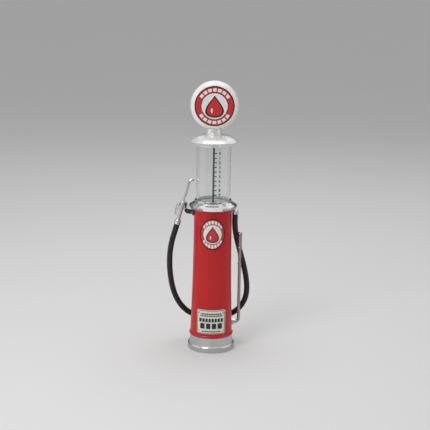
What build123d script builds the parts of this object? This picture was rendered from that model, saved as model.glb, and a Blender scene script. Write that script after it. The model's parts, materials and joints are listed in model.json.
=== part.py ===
from build123d import *
import math
import os

# A 1:18 display replica of a ten-gallon visible gas pump, in millimetres.
# +Z is up, the front is -Y, and the origin is the centre of the foot's underside.

# ---------------------------------------------------------------- driving dimensions
fit = 0.05                    # clearance between pieces that locate in each other
touch = 0.02                  # gap left between curved faces that rest on each other

foot_r = 14.6                 # round foot
foot_h = 9.1
foot_rim_h = 3.7
plate_r = 12.9                # bottom plate, let into the foot
plate_t = 1.6
foot_recess_r = 11.2          # hollow under the column, open to the plate
screw_offset = 9.0            # foot screws, one in front of the axis and one behind it
screw_shank_r = 0.9
screw_head_r = 1.85
screw_sink_r = 2.0            # countersink in the plate
screw_sink_h = 1.1
screw_reach = 5.5             # how far the screws run up into the column's posts
post_r = 2.3
post_h = 7.0

column_base_r = 13.2          # tapered column
column_top_r = 11.7
column_top_z = 88.9
column_wall = 1.5
column_roof_z = column_top_z - 1.8
column_bead_r = 13.75
column_bead_h = 1.9

badge_z = 75.7                # oval badge
badge_half_w = 7.6
badge_half_h = 9.7
badge_t = 0.9
badge_boss_border = 1.3       # raised oval boss that carries the badge
badge_boss_t = 0.55

label_z = 19.9                # data plate low on the front
label_half_w = 8.75
label_half_h = 7.6
label_t = 0.6
label_notch_r = 0.75
rivet_angle = 34.5            # degrees either side of the front
rivet_rise = 5.7              # above and below the plate's centre
rivet_shank_r = 0.4
rivet_head_r = 0.75

bowl_rim_r = 14.8             # saucer under the sight cylinder
bowl_rim_z = 91.5
bowl_top_z = 95.2
bowl_floor_z = 93.3
seat_wall = 0.8               # wall of the seats that hold the sight cylinder's ends
nameplate_t = 0.55            # banner plate that stands on the bowl's rim
nameplate_half_w = 5.85
nameplate_wing_w = 3.05
nameplate_drop = 1.1
nameplate_rise = 3.0

cylinder_r = 10.5             # clear sight cylinder
cylinder_wall = 1.2
gasket_t = 0.5
cap_bottom_z = 128.8
cap_floor_z = 129.4
cylinder_top_z = cap_floor_z + 0.6

cap_rim_r = 14.9              # saucer on top of the sight cylinder
cap_rim_z = 131.5
cap_crown_z = 135.4
cap_crown_r = 5.2
nut_pocket_r = 3.3
nut_pocket_z = 133.2

rod_r = 0.6                   # centre rod that clamps the stack
nut_half_flats = 1.7
nut_t = 1.2
scale_left = -1.6             # clear scale strip behind the rod
scale_right = 5.4
scale_t = 0.4
scale_seat = 0.4

neck_r = 4.5                  # neck under the globe
neck_top_z = 139.6
stem_r = 3.0
stem_floor_z = cap_crown_z + 1.3
globe_r = 14.8                # round globe, flat like a drum
globe_z = 153.2
globe_half_t = 5.7
globe_wall = 1.4
shoulder_in = 0.75            # the globe's rounded rim runs from its equator to the face's border
shoulder_share = 0.68
face_border = 0.35
face_r = 12.0
face_ledge = 1.3
face_seat = 0.75
face_dome = 0.65

hose_r = 1.75                 # hose and its outlet beside the column's top
outlet_x = 13.75
outlet_z = 87.3
outlet_r = 1.95
outlet_stub_r = 1.1
stub_end_x = 10.7
outlet_mouth_z = 86.0
hose_top_z = 86.9

hook_z = 86.6                 # flat hook for the nozzle on the column's left side
hook_half_h = 1.35
hook_arm_t = 1.5
hook_foot_x = -12.7
hook_rivet_y = -1.4
hook_rivet_r = 0.5

lever_x = 17.1                # pump lever on the right
lever_z = 16.7
lever_r = 0.95
lever_top_z = 73.4
lever_bend_r = 2.0
shaft_end_x = 9.4
ring_heights = (54.1, 59.3)   # two small rings on the arm
ring_r = 1.3
collar_r = 1.5
collar_h = 1.3
grip_r = 1.2
grip_low_z = 65.15
grip_high_z = 72.4
ball_r = 1.4
ball_seat = 0.1               # how far the ball's centre sits below the arm's nominal top
arm_end_z = lever_top_z - 0.6
boss_r = 2.1                  # flanged bush in the column's wall that carries the lever's shaft
flange_face_x = 14.1
hub_r = 1.4
boss_face_x = 15.1
bush_r = 1.6
bush_end_x = 11.3
clip_x = 10.35                # clip and washer that keep the shaft in
clip_t = 0.45
clip_r = 1.5
clip_groove_r = 0.7
washer_t = 0.4
washer_r = 1.7

nozzle_lean = 15.3            # degrees from upright, leaning to the pump
nozzle_tail = (-22.1, 0, 79.0)
nozzle_r = 1.1
ferrule_len = 3.0
spout_r = 0.8
spout_wall = 0.3
spout_start = 15.2            # distances along the nozzle from its tail
spout_bend = 27.6
spout_bend_r = 1.8
spout_turn = 100              # degrees
spout_tip = 0.4
eye_middle = 12.9
eye_offset = 1.75
eye_half_h = 2.1
eye_r = 1.25
eye_hole_r = 0.75
eye_t = 0.9
peg_r = 0.5
peg_head_r = 0.62
peg_along = eye_middle + eye_half_h - eye_r + eye_hole_r - peg_head_r - fit
valve_r = 1.2
valve_low = 9.4
trigger_pivot = 12.4
trigger_pivot_out = -1.85
trigger_t = 0.6
lug_half_w = 0.8
lug_slot_half_w = 0.36
pin_r = 0.28
guard_r = 0.32
guard_out = -3.3
guard_low = 5.6
guard_high = 13.9

os.makedirs("parts", exist_ok=True)


# ---------------------------------------------------------------- helpers
def save(node, shape):
    """Write one node, a single solid or a group of equal ones."""
    export_step(Compound(children=list(shape.solids())), f"parts/{node}.step")


def section(start, *steps):
    """A closed face in the XZ plane from (radius, height) corners; a pair of points is an arc."""
    edges = []
    here = start
    for step in steps + (start,):
        if isinstance(step[0], tuple):
            through, corner = step
            arc = ThreePointArc((here[0], 0, here[1]), (through[0], 0, through[1]), (corner[0], 0, corner[1]))
            edges.append(arc)
        else:
            corner = step
            edges.append(Line((here[0], 0, here[1]), (corner[0], 0, corner[1])))
        here = corner
    return make_face(edges)


def turned(start, *steps):
    """Spin a section about the Z axis."""
    return revolve(section(start, *steps), Axis.Z)


def dome(radius, low, high):
    """The last two points of an outline that closes over the axis as a spherical cap."""
    rise = high - low
    ball_r = (radius ** 2 + rise ** 2) / (2 * rise)
    half_angle = math.asin(radius / ball_r) / 2
    through = (ball_r * math.sin(half_angle), high - ball_r + ball_r * math.cos(half_angle))
    return through, (0, high)


def rod(radius, low, high):
    """An upright cylinder on the Z axis between two heights."""
    return Pos(0, 0, low) * Cylinder(radius, high - low, align=(Align.CENTER, Align.CENTER, Align.MIN))


def tube(radius, bore, low, high):
    return rod(radius, low, high) - rod(bore, low, high)


def mirrored_pair(shape, offset):
    """Two copies of a shape, one in front of the axis and one behind it."""
    return [Pos(0, side * offset, 0) * shape for side in (-1, 1)]


def block(low, high):
    """A box between two opposite corners."""
    size = [high[i] - low[i] for i in range(3)]
    return Pos(*low) * Box(*size, align=(Align.MIN, Align.MIN, Align.MIN))


def along_x(shape, x, y, z):
    """Turn an upright shape so that it points along +X, and put its base at a point."""
    return Pos(x, y, z) * Rot(0, 90, 0) * shape


def column_radius(z):
    """The column narrows quickly above its foot and is almost straight near its top."""
    drop = (column_top_z - z) / (column_top_z - foot_h)
    return column_top_r + (column_base_r - column_top_r) * drop ** 2


def column_envelope(offset):
    """The solid inside the column's outer face, moved out by an offset."""
    low = column_base_r + offset
    high = column_top_r + offset
    middle_z = (foot_h + column_top_z) / 2
    side = Bezier((low, 0, foot_h), (high, 0, middle_z), (high, 0, column_top_z))
    rim = Polyline((high, 0, column_top_z), (0, 0, column_top_z), (0, 0, foot_h), (low, 0, foot_h))
    return revolve(make_face([*side.edges(), *rim.edges()]), Axis.Z)


def front_skin(outline, z, inner, outer):
    """A curved plate on the column's front: an outline carried back onto the skin between two offsets."""
    cutter = Pos(0, -column_base_r - 3, z) * (Rot(90, 0, 0) * extrude(outline, -column_base_r))
    return cutter & (column_envelope(outer) - column_envelope(inner))


# ---------------------------------------------------------------- foot
def make_base_foot():
    neck = column_base_r - 0.1
    shell = turned(
        (0, 0), (foot_r - 0.3, 0), (foot_r, 0.5), (foot_r, foot_rim_h - 0.9),
        ((foot_r - 0.25, foot_rim_h - 0.2), (foot_r - 0.9, foot_rim_h)),
        ((neck + 0.25, foot_rim_h + 2.5), (neck, foot_h - 0.6)), (neck, foot_h), (0, foot_h))
    recess = rod(plate_r + fit, 0, plate_t + fit)
    cavity = rod(foot_recess_r, plate_t, foot_h - 2.2)
    foot = shell - recess - cavity
    pillar = tube(post_r + 0.1, screw_shank_r + fit, plate_t + fit, foot_h)
    hole = rod(screw_shank_r + fit, 0, foot_h)
    return foot + mirrored_pair(pillar, screw_offset) - mirrored_pair(hole, screw_offset)


def make_base_plate():
    hole = rod(screw_shank_r + fit, 0, plate_t) + rod(screw_sink_r, 0, screw_sink_h)
    plate = rod(plate_r, 0, plate_t) - mirrored_pair(hole, screw_offset)
    upper_rim = plate.edges().filter_by(GeomType.CIRCLE).group_by(Axis.Z)[-1].sort_by(SortBy.LENGTH)[-1]
    return chamfer(upper_rim, 0.3)


def make_base_screws():
    """Two cross-head screws whose heads sit in the plate."""
    low = 0.3
    head = turned(
        (0, low), (screw_head_r - 0.25, low), (screw_head_r, low + 0.2), (screw_head_r, screw_sink_h - touch),
        (0, screw_sink_h - touch))
    shank = rod(screw_shank_r, screw_sink_h - 0.1, foot_h + screw_reach)
    slot = block((-screw_head_r, -0.25, low), (screw_head_r, 0.25, low + 0.35))
    screw = head + shank - slot - Rot(0, 0, 90) * slot
    return mirrored_pair(screw, screw_offset)


# ---------------------------------------------------------------- column and its plates
def rivet_places():
    """Angle from the front and height of the data plate's four rivets."""
    for angle in (-rivet_angle, rivet_angle):
        for z in (label_z - rivet_rise, label_z + rivet_rise):
            yield angle, z


def radial(shape, angle, radius, z):
    """Point an upright shape outward from the axis, at an angle measured from the front."""
    return Rot(0, 0, angle) * Pos(0, -radius, z) * Rot(90, 0, 0) * shape


def badge_outline(border):
    return Ellipse(badge_half_w + border, badge_half_h + border)


def make_column_bead():
    inner = column_base_r - 1.0
    top = foot_h + column_bead_h
    return turned(
        (inner, foot_h), (column_bead_r - 0.3, foot_h), (column_bead_r, foot_h + 0.4),
        ((column_bead_r - 0.1, foot_h + 1.3), (column_base_r - 0.1, top)), (inner, top))


def make_column_post():
    """A post inside the column that takes a foot screw, with a web to the wall."""
    post = rod(post_r, foot_h, foot_h + post_h)
    web = block((-0.7, 0, foot_h), (0.7, post_r + 0.9, foot_h + post_h))
    return post + web


def make_column():
    hollow = column_envelope(-column_wall) & rod(foot_r, foot_h, column_roof_z)
    column = column_envelope(0) - hollow + make_column_bead()
    column = column + front_skin(badge_outline(badge_boss_border), badge_z, -0.3, badge_boss_t)
    for turn in (0, 180):
        post = Rot(0, 0, turn) * Pos(0, screw_offset, 0) * make_column_post()
        column = column + (post & column_envelope(-0.5))
    screw_hole = rod(screw_shank_r + fit, foot_h, foot_h + screw_reach + 0.5)
    column = column - mirrored_pair(screw_hole, screw_offset)
    column = column - rod(rod_r + fit, column_roof_z - 0.2, column_top_z)
    for angle, z in rivet_places():
        column = column - radial(rod(rivet_shank_r + touch, -3, 3), angle, column_radius(z), z)
    inside_x = column_top_r - 1.3
    column = column - along_x(rod(outlet_stub_r + touch, 0, 3), inside_x, 0, outlet_z)
    column = column - along_x(rod(bush_r + touch, 0, 5), inside_x, 0, lever_z)
    return column - along_x(rod(hook_rivet_r + touch, 0, 3), hook_foot_x - 0.3, hook_rivet_y, hook_z)


def make_oval_badge():
    badge = front_skin(badge_outline(0), badge_z, badge_boss_t + touch, badge_boss_t + badge_t)
    outer_face = badge.faces().sort_by(SortBy.AREA)[-1]
    return fillet(outer_face.edges(), 0.4)


def make_data_plate():
    outline = RectangleRounded(2 * label_half_w, 2 * label_half_h, 0.5)
    for x in (-1, 1):
        for y in (-1, 1):
            outline = outline - Pos(x * label_half_w, y * label_half_h) * Circle(label_notch_r)
    plate = front_skin(outline, label_z, touch, label_t)
    for angle, z in rivet_places():
        plate = plate - radial(rod(rivet_shank_r + touch, -3, 3), angle, column_radius(z), z)
    return plate


def make_plate_rivets():
    head_base = label_t + touch
    head = turned((0, head_base), (rivet_head_r, head_base), dome(rivet_head_r, head_base, head_base + 0.5))
    rivet = head + rod(rivet_shank_r, -0.9, head_base + 0.1)
    return [radial(rivet, angle, column_radius(z), z) for angle, z in rivet_places()]


# ---------------------------------------------------------------- bowl, cylinder and cap
def scale_slot(low, high):
    """Slot that holds an end of the scale strip."""
    return block((scale_left - fit, rod_r, low), (scale_right + fit, rod_r + scale_t + 2 * fit, high))


def make_bowl():
    seat_r = cylinder_r + fit
    wall_r = seat_r + seat_wall
    bowl = turned(
        (0, column_top_z), (column_top_r + 0.1, column_top_z),
        ((bowl_rim_r - 1.05, bowl_rim_z - 1.75), (bowl_rim_r - 0.15, bowl_rim_z - 0.6)),
        ((bowl_rim_r, bowl_rim_z - 0.2), (bowl_rim_r - 0.15, bowl_rim_z + 0.3)),
        ((bowl_rim_r - 1.6, bowl_rim_z + 1.25), (wall_r + 0.1, bowl_top_z - 1.2)),
        (wall_r, bowl_top_z - 0.2), (wall_r - 0.2, bowl_top_z),
        (seat_r, bowl_top_z), (seat_r, bowl_floor_z), (0, bowl_floor_z))
    bowl = bowl - rod(rod_r + fit, column_top_z, bowl_floor_z)
    return bowl - scale_slot(bowl_floor_z - scale_seat, bowl_top_z)


def make_bowl_nameplate():
    """A banner plate that stands on the rim, with a pointed wing at each side."""
    back_r = bowl_rim_r + touch
    low = bowl_rim_z - nameplate_drop
    high = bowl_rim_z + nameplate_rise
    sleeve = tube(back_r + nameplate_t, back_r, low, high)
    plate = sleeve & block((-nameplate_half_w, -20, low), (nameplate_half_w, 0, high))
    root = nameplate_half_w - 0.35
    tip = nameplate_half_w + nameplate_wing_w
    for side in (-1, 1):
        wing = make_face(Polyline(
            (side * root, 0, bowl_rim_z + 0.1), (side * tip, 0, bowl_rim_z + 1.2),
            (side * root, 0, high - 0.5), close=True))
        plate = plate + (sleeve & extrude(wing, 20, dir=(0, -1, 0)))
    return plate


def make_gasket(low):
    return tube(cylinder_r, cylinder_r - cylinder_wall, low, low + gasket_t)


def make_sight_cylinder():
    return tube(cylinder_r, cylinder_r - cylinder_wall, bowl_floor_z + gasket_t, cylinder_top_z)


def make_tie_rod():
    return rod(rod_r, column_roof_z - nut_t - 1.0, nut_pocket_z + nut_t + 0.6)


def make_rod_nuts():
    nut = extrude(RegularPolygon(nut_half_flats, 6, major_radius=False), nut_t)
    nut = nut - rod(rod_r + touch, 0, nut_t)
    return [Pos(0, 0, column_roof_z - nut_t) * nut, Pos(0, 0, nut_pocket_z) * nut]


def make_gauge_scale():
    low = bowl_floor_z - scale_seat
    high = cap_floor_z + scale_seat - fit
    return block((scale_left, rod_r + fit, low), (scale_right, rod_r + fit + scale_t, high))


def make_cap():
    bore_r = cylinder_r - cylinder_wall - fit
    seat_r = cylinder_r + fit
    seat_z = cylinder_top_z + gasket_t
    cap = turned(
        (0, cap_floor_z), (bore_r, cap_floor_z), (bore_r, seat_z), (seat_r, seat_z), (seat_r, cap_bottom_z),
        (seat_r + seat_wall - 0.1, cap_bottom_z),
        ((cap_rim_r - 1.8, cap_rim_z - 1.55), (cap_rim_r - 0.15, cap_rim_z - 0.25)),
        ((cap_rim_r, cap_rim_z), (cap_rim_r - 0.2, cap_rim_z + 0.2)),
        ((10.6, 134.3), (cap_crown_r, cap_crown_z)), (0, cap_crown_z))
    cap = cap - rod(rod_r + fit, cap_floor_z, cap_crown_z) - rod(nut_pocket_r, nut_pocket_z, cap_crown_z)
    return cap - scale_slot(cap_bottom_z, cap_floor_z + scale_seat)


# ---------------------------------------------------------------- neck and globe
def globe_envelope(offset):
    """The globe's outer solid of revolution about Y, moved out by an offset."""
    rim = globe_r + offset
    flat = globe_half_t + offset
    shoulder = (rim - shoulder_in, flat * shoulder_share)
    half = section((0, 0), (rim, 0), (shoulder, (face_r + face_border, flat)), (0, flat))
    rear = stand_upright(half)
    return rear + mirror(rear, Plane.XZ)


def stand_upright(half_section):
    """Spin the rear half's section, and stand the disc upright at the globe's centre."""
    return Pos(0, 0, globe_z) * Rot(-90, 0, 0) * revolve(half_section, Axis.Z)


def make_globe_neck():
    spigot_r = nut_pocket_r - fit
    spigot_z = cap_crown_z - 0.8
    neck = turned(
        (0, spigot_z), (spigot_r, spigot_z), (spigot_r, cap_crown_z),
        (neck_r + 0.5, cap_crown_z), (neck_r + 0.5, cap_crown_z + 0.5),
        ((neck_r + 0.12, cap_crown_z + 0.75), (neck_r, cap_crown_z + 1.2)),
        (neck_r, neck_top_z), (0, neck_top_z))
    neck = neck - rod(spigot_r - 0.8, spigot_z, cap_crown_z + 0.3)
    neck = neck - rod(stem_r + fit, stem_floor_z, neck_top_z)
    return neck - globe_envelope(fit)


def make_globe_shells():
    """The rear shell and the front shell, which meet at the middle plane."""
    shoulder = (globe_r - shoulder_in, globe_half_t * shoulder_share)
    inner_r = globe_r - globe_wall
    inner = (inner_r - 0.6, globe_half_t * 0.6)
    lip_y = globe_half_t - face_seat
    ledge_r = face_r - face_ledge
    wall = section(
        (globe_r, 0), (shoulder, (face_r + face_border, globe_half_t)), (face_r + fit, globe_half_t),
        (face_r + fit, lip_y), (ledge_r, lip_y), (ledge_r, lip_y - 0.9), (inner, (inner_r, 0)))
    stem = rod(stem_r, stem_floor_z + 0.1, globe_z - inner_r + 0.2)
    stem = stem & block((-stem_r, 0, 0), (stem_r, stem_r, globe_z))
    rear = stand_upright(wall) + stem
    return rear, mirror(rear, Plane.XZ)


def make_globe_faces():
    """The rear face and the front face, thin domed discs let into the shells."""
    back = globe_half_t - face_seat + touch
    crown = dome(face_r, globe_half_t, globe_half_t + face_dome)
    half = section((0, back), (face_r, back), (face_r, globe_half_t), crown)
    rear = stand_upright(half)
    return rear, mirror(rear, Plane.XZ)


# ---------------------------------------------------------------- hose and its outlet
def make_hose_outlet():
    """An elbow whose stub enters the column's side and whose barrel takes the hose from below."""
    shoulder_z = outlet_z + 0.3
    barrel = turned(
        (0, outlet_mouth_z), (outlet_r, outlet_mouth_z), (outlet_r, shoulder_z),
        dome(outlet_r, shoulder_z, outlet_z + 1.6))
    bored = barrel - rod(hose_r + touch, outlet_mouth_z, hose_top_z)
    stub = along_x(rod(outlet_stub_r, 0, outlet_x - outlet_r + 0.15 - stub_end_x), stub_end_x, 0, outlet_z)
    return Pos(outlet_x, 0, 0) * bored + stub


def hose_route():
    """The hose hangs from its outlet, passes behind the column and rises on the left to the nozzle."""
    lean = math.radians(nozzle_lean)
    along = (math.sin(lean), 0, math.cos(lean))
    end = [nozzle_tail[i] - along[i] * fit for i in range(3)]
    points = [
        (outlet_x, 0, hose_top_z), (outlet_x, 1.6, 79.5), (16.8, 5.0, 63.0), (21.6, 8.2, 43.0),
        (21.2, 10.4, 28.5), (13.6, 13.6, 18.0), (0, 16.2, 14.0), (-13.4, 13.4, 17.6), (-21.6, 9.0, 27.5),
        (-25.2, 5.5, 39.0), (-26.6, 2.6, 54.0), (-25.4, 0.7, 67.0), tuple(end)]
    return Spline(*points, tangents=[(0, 0, -1), along])


def make_hose():
    route = hose_route()
    start = Plane(route @ 0, z_dir=route % 0)
    return sweep(start * Circle(hose_r), path=route)


# ---------------------------------------------------------------- nozzle hook
def nozzle_point(out, along):
    """A point of the nozzle from its distance out to the right of its axis and its distance along it."""
    lean = math.radians(nozzle_lean)
    x = nozzle_tail[0] + out * math.cos(lean) + along * math.sin(lean)
    z = nozzle_tail[2] - out * math.sin(lean) + along * math.cos(lean)
    return x, z


def make_nozzle_hook():
    """A flat arm riveted to the column's left side, turned up at its end, with a peg to the front."""
    peg_x, peg_z = nozzle_point(eye_offset, peg_along)
    arm_y = eye_t / 2 + 0.15
    low = hook_z - hook_half_h
    high = hook_z + hook_half_h
    root_x = hook_foot_x + 0.4
    arm = make_face(Polyline(
        (root_x, 0, low), (peg_x + 0.2, 0, low + 0.5), (peg_x - 0.9, 0, hook_z + 0.8),
        (peg_x - 0.6, 0, peg_z + 0.8), (peg_x + 0.6, 0, peg_z + 0.8), (peg_x + 0.9, 0, hook_z + 1.7),
        (root_x, 0, high), close=True))
    arm = Pos(0, arm_y, 0) * extrude(arm, hook_arm_t, dir=(0, 1, 0))
    foot = block((hook_foot_x, hook_rivet_y - 1.3, low), (hook_foot_x + 1.7, arm_y + hook_arm_t, high))
    peg = Pos(peg_x, arm_y + 0.1, peg_z) * Rot(90, 0, 0) * rod(peg_r, 0, eye_t + 0.9)
    head = Pos(peg_x, arm_y - eye_t - 0.5, peg_z) * Rot(90, 0, 0) * rod(peg_head_r, 0, 0.3)
    hook = arm + foot + peg + head
    hook = hook - column_envelope(touch)
    return hook - along_x(rod(hook_rivet_r + touch, 0, 4), hook_foot_x - 1.3, hook_rivet_y, hook_z)


def make_hook_rivet():
    head_r = 0.95
    head = turned((0, 0), (head_r, 0), dome(head_r, 0, 0.55))
    rivet = head + rod(hook_rivet_r, -2.0, 0.1)
    return Pos(hook_foot_x - touch, hook_rivet_y, hook_z) * Rot(0, -90, 0) * rivet


# ---------------------------------------------------------------- pump lever
def make_lever_boss():
    """A flanged bush set into the column's wall, with a hub that carries the lever's shaft."""
    inside = column_top_r - 0.5
    flange = along_x(rod(boss_r, 0, flange_face_x - inside), inside, 0, lever_z) - column_envelope(touch)
    hub = along_x(rod(hub_r, 0, boss_face_x - flange_face_x + 0.2), flange_face_x - 0.2, 0, lever_z)
    bush = along_x(rod(bush_r, 0, flange_face_x - bush_end_x), bush_end_x, 0, lever_z)
    bore = along_x(rod(lever_r + fit, 0, boss_face_x - bush_end_x), bush_end_x, 0, lever_z)
    return flange + hub + bush - bore


def make_lever_arm():
    """One bent rod: the shaft runs in through the column's side and the arm stands upright."""
    bend_x = lever_x - lever_bend_r
    bend_z = lever_z + lever_bend_r
    reach = lever_bend_r * math.sqrt(0.5)
    bend = ThreePointArc((bend_x, 0, lever_z), (bend_x + reach, 0, bend_z - reach), (lever_x, 0, bend_z))
    path = Line((shaft_end_x, 0, lever_z), (bend_x, 0, lever_z)) + bend
    path = path + Line((lever_x, 0, bend_z), (lever_x, 0, arm_end_z))
    arm = sweep(Plane((shaft_end_x, 0, lever_z), z_dir=(1, 0, 0)) * Circle(lever_r), path=path)
    arm = arm - along_x(tube(lever_r + 1, clip_groove_r, 0, clip_t + 2 * fit), clip_x - fit, 0, lever_z)
    side_r = lever_r + 0.2
    for z in ring_heights:
        ring = turned((0, z - 0.3), (side_r, z - 0.3), ((ring_r, z), (side_r, z + 0.3)), (0, z + 0.3))
        arm = arm + on_lever(ring)
    return arm


def make_lever_washer():
    return along_x(tube(washer_r, lever_r + fit, 0, washer_t), clip_x + clip_t + 0.03, 0, lever_z)


def make_lever_clip():
    return along_x(tube(clip_r, clip_groove_r + touch, 0, clip_t), clip_x, 0, lever_z)


def on_lever(shape):
    """Move a shape from the Z axis to the lever's arm."""
    return Pos(lever_x, 0, 0) * shape


def make_lever_collar():
    bore_r = lever_r + touch
    low = grip_low_z - collar_h
    side_r = collar_r - 0.25
    bulge = ((collar_r, low + collar_h / 2), (side_r, grip_low_z))
    return on_lever(turned((bore_r, low), (side_r, low), bulge, (bore_r, grip_low_z)))


def make_lever_grip():
    return on_lever(tube(grip_r, lever_r + touch, grip_low_z + touch, grip_high_z))


def make_lever_ball():
    centre = lever_top_z - ball_seat
    low = grip_high_z + touch
    seat = math.sqrt(ball_r ** 2 - (centre - low) ** 2)
    ball = turned((0, low), (seat, low), ((ball_r, centre), (0, centre + ball_r)))
    return on_lever(ball - rod(lever_r + touch, low, arm_end_z + fit))


# ---------------------------------------------------------------- nozzle
def on_nozzle(shape):
    """Move a shape from the Z axis to the nozzle's axis, with its base at the nozzle's tail."""
    return Pos(*nozzle_tail) * Rot(0, nozzle_lean, 0) * shape


def make_nozzle_ferrule():
    """A ribbed ring that clamps the hose's end to the nozzle."""
    ferrule = turned(
        (0, 0), (1.85, 0), (2.0, 0.2), (2.0, 0.9), (1.8, 1.1), (2.0, 1.3), (2.0, 2.2),
        ((1.75, 2.8), (1.4, ferrule_len)), (0, ferrule_len))
    return on_nozzle(ferrule - rod(0.8 + touch, 1.2, ferrule_len))


def eye_shape(radius, half_h):
    """An upright slot in the nozzle's own XZ plane."""
    slot = SlotOverall(2 * half_h, 2 * radius, rotation=90)
    return Pos(eye_offset, 0, eye_middle) * Rot(90, 0, 0) * extrude(slot, eye_t / 2, both=True)


def pin_cylinder(radius, length):
    """A cylinder along Y at the trigger's pivot."""
    return Pos(trigger_pivot_out, 0, trigger_pivot) * Rot(90, 0, 0) * Cylinder(radius, length)


def make_nozzle_body():
    """The valve body with its hanging eye on the right and the trigger's lug on the left."""
    low = ferrule_len + touch
    high = spout_start - 0.1
    body = turned(
        (0, low), (1.25, low), (1.25, low + 0.7), (nozzle_r, low + 1.0), (nozzle_r, valve_low),
        (valve_r, valve_low + 0.3), (valve_r, high - 0.8), (valve_r - 0.15, high), (0, high))
    body = body + rod(0.8, 1.3, ferrule_len + 0.5)
    body = body + eye_shape(eye_r, eye_half_h)
    body = body - eye_shape(eye_hole_r, eye_half_h - eye_r + eye_hole_r)
    outer = trigger_pivot_out - 0.55
    lug = block((outer, -lug_half_w, trigger_pivot - 0.6), (-0.6, lug_half_w, trigger_pivot + 0.6))
    slot = block(
        (outer, -lug_slot_half_w, trigger_pivot - 0.7), (-nozzle_r, lug_slot_half_w, trigger_pivot + 0.7))
    body = body + (lug - slot) - pin_cylinder(pin_r + touch, 2 * lug_half_w + 0.3)
    return on_nozzle(body - rod(0.45, spout_start - 1.3, spout_start))


def make_nozzle_spout():
    """A straight tube that bends over to the pump at its end."""
    turn = math.radians(spout_turn)

    def bend_point(angle):
        return spout_bend_r * (1 - math.cos(angle)), 0, spout_bend + spout_bend_r * math.sin(angle)
    end = bend_point(turn)
    tip = (end[0] + spout_tip * math.sin(turn), 0, end[2] + spout_tip * math.cos(turn))
    path = Line((0, 0, spout_start), bend_point(0))
    path = path + ThreePointArc(bend_point(0), bend_point(turn / 2), end) + Line(end, tip)
    spout = sweep(Plane((0, 0, spout_start)) * (Circle(spout_r) - Circle(spout_r - spout_wall)), path=path)
    stub = tube(0.43, 0.2, spout_start - 1.2, spout_start + 0.2)
    floor = tube(spout_r, 0.2, spout_start, spout_start + 0.3)
    collar = tube(nozzle_r, spout_r - 0.1, spout_start, spout_start + 0.8)
    return on_nozzle(spout + stub + floor + collar)


def make_nozzle_guard():
    """A bent wire that shields the trigger, from the body's lower end up to the valve."""
    inner = -nozzle_r + 0.1
    path = Polyline(
        (inner, 0, guard_low), (guard_out + 0.9, 0, guard_low), (guard_out, 0, guard_low + 1.0),
        (guard_out, 0, guard_high - 1.3), (guard_out + 0.6, 0, guard_high), (inner + 0.1, 0, guard_high))
    start = Plane((inner, 0, guard_low), z_dir=(-1, 0, 0))
    wire = sweep(start * Circle(guard_r), path=path, transition=Transition.ROUND)
    keep = rod(6, 0, 20) - rod(nozzle_r + touch, 0, valve_low) - rod(valve_r + touch, valve_low, 20)
    return on_nozzle(wire & keep)


def make_nozzle_trigger():
    """A flat blade on the pin, drawn in to the body at its lower end."""
    out = trigger_pivot_out
    blade = make_face(Polyline(
        (out - 0.5, 0, trigger_pivot), (out + 0.25, 0, trigger_pivot), (out - 0.15, 0, trigger_pivot - 5.0),
        (out - 0.3, 0, trigger_pivot - 5.8), (out - 0.8, 0, trigger_pivot - 5.6),
        (out - 0.65, 0, trigger_pivot - 4.6), close=True))
    trigger = pin_cylinder(0.5, trigger_t) + extrude(blade, trigger_t / 2, both=True)
    return on_nozzle(trigger - pin_cylinder(pin_r + 0.04, 2 * lug_half_w))


def make_trigger_pin():
    return on_nozzle(pin_cylinder(pin_r, 2 * lug_half_w + 0.3))


# ---------------------------------------------------------------- write every node
shell_rear, shell_front = make_globe_shells()
face_rear, face_front = make_globe_faces()

nodes = {
    "base_foot": make_base_foot(),
    "base_plate": make_base_plate(),
    "base_screws": make_base_screws(),
    "column": make_column(),
    "oval_badge": make_oval_badge(),
    "data_plate": make_data_plate(),
    "plate_rivets": make_plate_rivets(),
    "bowl": make_bowl(),
    "bowl_nameplate": make_bowl_nameplate(),
    "lower_gasket": make_gasket(bowl_floor_z),
    "sight_cylinder": make_sight_cylinder(),
    "upper_gasket": make_gasket(cylinder_top_z),
    "cap": make_cap(),
    "tie_rod": make_tie_rod(),
    "rod_nuts": make_rod_nuts(),
    "gauge_scale": make_gauge_scale(),
    "globe_neck": make_globe_neck(),
    "globe_shell_rear": shell_rear,
    "globe_shell_front": shell_front,
    "globe_face_rear": face_rear,
    "globe_face_front": face_front,
    "hose_outlet": make_hose_outlet(),
    "hose": make_hose(),
    "nozzle_hook": make_nozzle_hook(),
    "hook_rivet": make_hook_rivet(),
    "lever_boss": make_lever_boss(),
    "lever_washer": make_lever_washer(),
    "lever_arm": make_lever_arm(),
    "lever_clip": make_lever_clip(),
    "lever_collar": make_lever_collar(),
    "lever_grip": make_lever_grip(),
    "lever_ball": make_lever_ball(),
    "nozzle_ferrule": make_nozzle_ferrule(),
    "nozzle_body": make_nozzle_body(),
    "nozzle_spout": make_nozzle_spout(),
    "nozzle_guard": make_nozzle_guard(),
    "nozzle_trigger": make_nozzle_trigger(),
    "trigger_pin": make_trigger_pin(),
}
for node, shape in nodes.items():
    save(node, shape if not isinstance(shape, list) else Compound(children=shape))
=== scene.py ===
import json
import math

import bmesh
import bpy
import numpy as np
from mathutils import Matrix, Vector

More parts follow.
